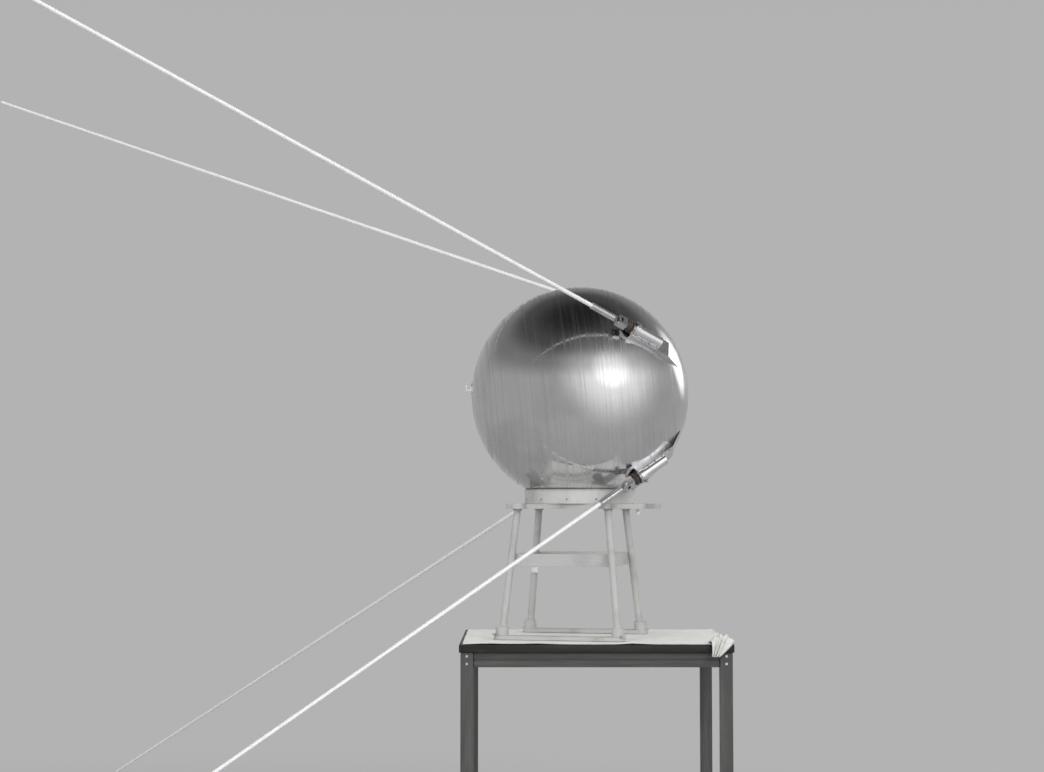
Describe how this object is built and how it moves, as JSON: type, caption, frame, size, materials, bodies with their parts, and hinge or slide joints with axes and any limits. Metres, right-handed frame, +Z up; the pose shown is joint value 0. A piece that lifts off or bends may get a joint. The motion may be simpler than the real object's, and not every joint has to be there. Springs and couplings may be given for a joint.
{
  "type": "ball-shaped radio satellite on an assembly stand and bench",
  "caption": "Polished ball satellite with long sprung whip antennas swept back, seated in a collar on a splayed tube stand on a tall bench",
  "frame": {"origin": "bottom centre of the whole part's box, at floor level", "axes": "+Z up; the antennas sweep back towards -X; the bench is square to X and Y and the side seen in the picture faces -Y"},
  "size_m": [2.4532, 3.318, 2.8048],
  "materials": {
    "polished_aluminium": "mirror polished with fine brushing",
    "ball_ring": "satin",
    "block_case": "plain",
    "antenna_metal": "polished",
    "fitting_steel": "machined",
    "insulator": "satin",
    "stand_paint": "worn pale grey paint",
    "collar_felt": "pale paint",
    "cover_cloth": "pale cotton cloth",
    "bench_dark": "dark stained top",
    "bench_frame": "dark painted frame"
  },
  "bodies": {
    "satellite_on_stand": {"front_shell": "polished_aluminium", "rear_shell": "polished_aluminium", "joint_ring": "ball_ring", "power_block": "block_case", "block_carrier": "ball_ring", "filling_valve": "fitting_steel", "heel_contact": "fitting_steel", "test_connector": "fitting_steel", "near_upper_saddle": "antenna_metal", "near_upper_insulator": "insulator", "near_upper_fork": "fitting_steel", "near_upper_pin": "fitting_steel", "far_upper_saddle": "antenna_metal", "far_upper_insulator": "insulator", "far_upper_fork": "fitting_steel", "far_upper_pin": "fitting_steel", "near_lower_saddle": "antenna_metal", "near_lower_insulator": "insulator", "near_lower_fork": "fitting_steel", "near_lower_pin": "fitting_steel", "far_lower_saddle": "antenna_metal", "far_lower_insulator": "insulator", "far_lower_fork": "fitting_steel", "far_lower_pin": "fitting_steel", "collar": "collar_felt", "stand_top_frame": "stand_paint", "stand_leg_1": "stand_paint", "stand_leg_2": "stand_paint", "stand_leg_3": "stand_paint", "stand_leg_4": "stand_paint", "stand_base_rails": "stand_paint", "stand_brace": "stand_paint", "bench_top": "bench_dark", "cover_cloth": "cover_cloth", "bench_leg_1": "bench_frame", "bench_leg_2": "bench_frame", "bench_leg_3": "bench_frame", "bench_leg_4": "bench_frame", "bench_apron": "bench_frame", "bench_stretcher": "bench_frame"},
    "near_upper_antenna": {"near_upper_knuckle": "fitting_steel", "near_upper_whip": "antenna_metal"},
    "far_upper_antenna": {"far_upper_knuckle": "fitting_steel", "far_upper_whip": "antenna_metal"},
    "near_lower_antenna": {"near_lower_knuckle": "fitting_steel", "near_lower_whip": "antenna_metal"},
    "far_lower_antenna": {"far_lower_knuckle": "fitting_steel", "far_lower_whip": "antenna_metal"}
  },
  "joints": [
    {"name": "near_upper_fold", "type": "hinge", "parent": "satellite_on_stand", "child": "near_upper_antenna", "pos_m": [0.93783, -0.4994, 1.74388], "axis": [-0.0712, -0.5975, -0.7987], "range_deg": [0, 30], "stiffness_Nm_per_rad": 30, "springref_deg": -34.38},
    {"name": "far_upper_fold", "type": "hinge", "parent": "satellite_on_stand", "child": "far_upper_antenna", "pos_m": [0.90315, -0.06683, 1.82403], "axis": [-0.1152, -0.8024, 0.5856], "range_deg": [0, 30], "stiffness_Nm_per_rad": 30, "springref_deg": -34.38},
    {"name": "near_lower_fold", "type": "hinge", "parent": "satellite_on_stand", "child": "near_lower_antenna", "pos_m": [0.9588, -0.42478, 1.3194], "axis": [0.0119, 0.8137, -0.5811], "range_deg": [0, 30], "stiffness_Nm_per_rad": 30, "springref_deg": -34.38},
    {"name": "far_lower_fold", "type": "hinge", "parent": "satellite_on_stand", "child": "far_lower_antenna", "pos_m": [0.99865, 0.01672, 1.46283], "axis": [-0.1716, 0.4363, 0.8833], "range_deg": [0, 30], "stiffness_Nm_per_rad": 30, "springref_deg": -34.38}
  ]
}
